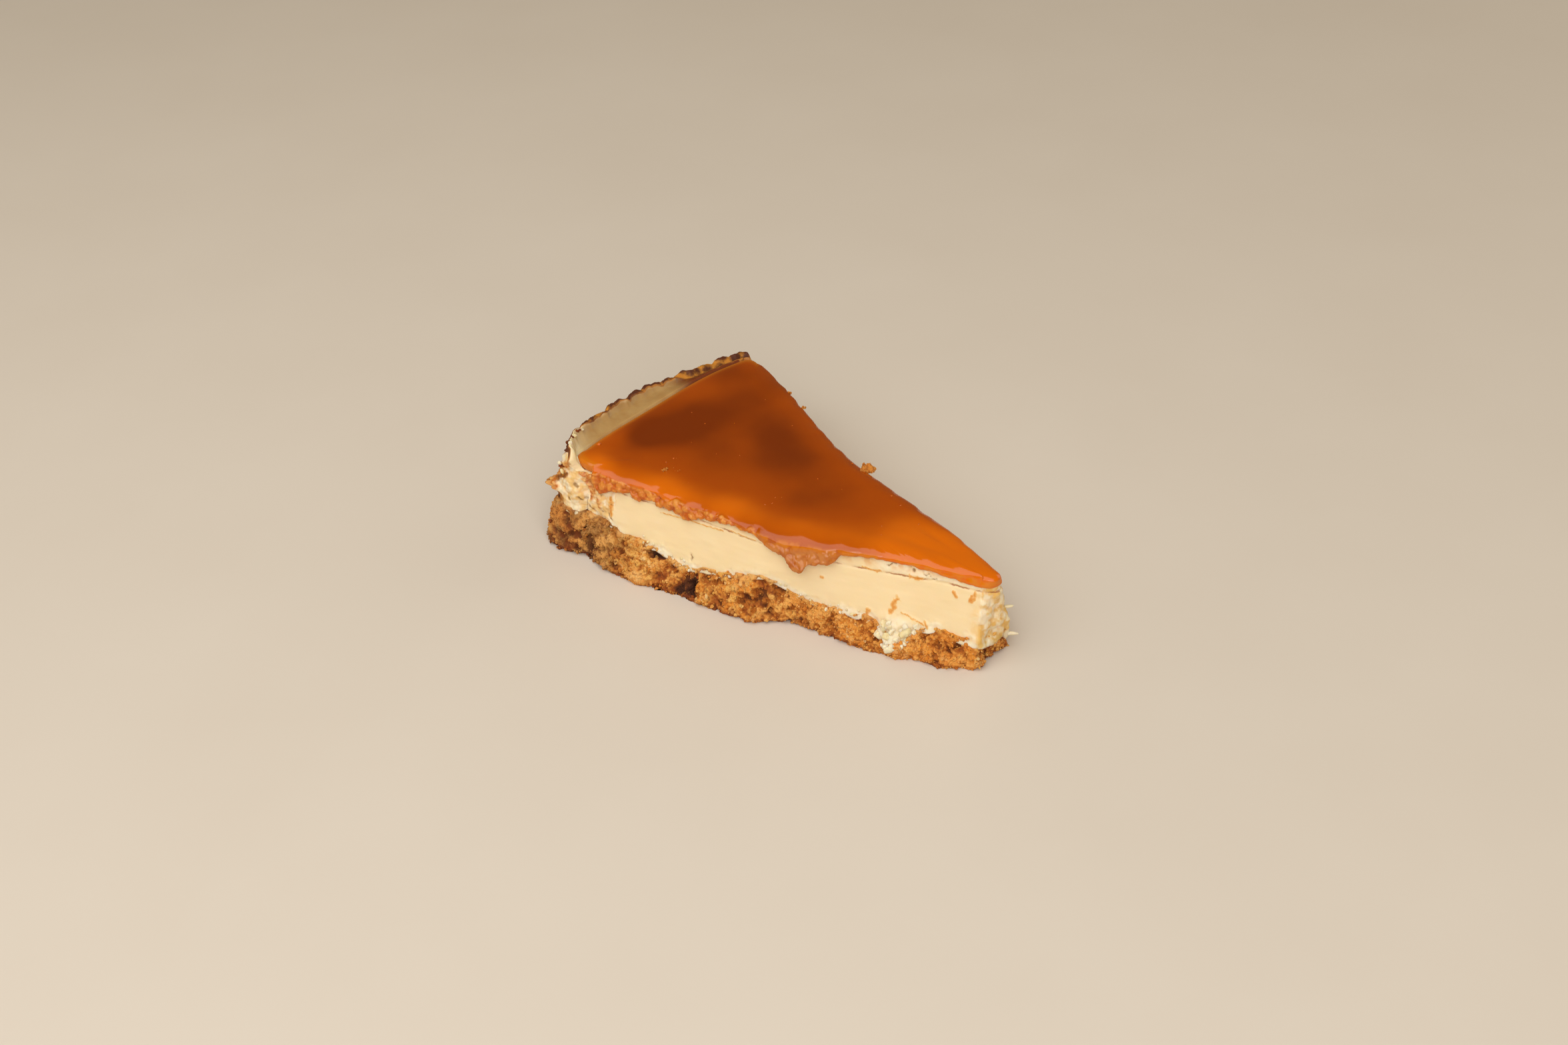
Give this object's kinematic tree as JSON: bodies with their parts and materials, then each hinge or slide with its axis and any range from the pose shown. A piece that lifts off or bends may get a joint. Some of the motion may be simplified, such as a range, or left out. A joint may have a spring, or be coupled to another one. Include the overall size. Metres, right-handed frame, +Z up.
{
  "type": "slice of caramel topped baked cheesecake",
  "caption": "Wedge of baked cheesecake: rough crumb base, pale cheese filling with a raised browned rim, and glossy caramel lapping over the cut faces.",
  "frame": {"origin": "centre of the bounding box at the surface that the slice stands on", "axes": "+Z up; -Y towards the slice's tip and +Y towards its rim; the torn cut with the caramel drip faces -X"},
  "size_m": [0.0854, 0.1345, 0.0307],
  "materials": {
    "crumb": "matte baked biscuit crumb, coarse and golden brown",
    "cheese": "soft satin baked cheese, pale cream, browned at the rim",
    "caramel": "wet glossy caramel, deep amber brown"
  },
  "bodies": {
    "root": {"crumb_base": "crumb", "cheese_filling": "cheese", "caramel_topping": "caramel"}
  },
  "joints": []
}
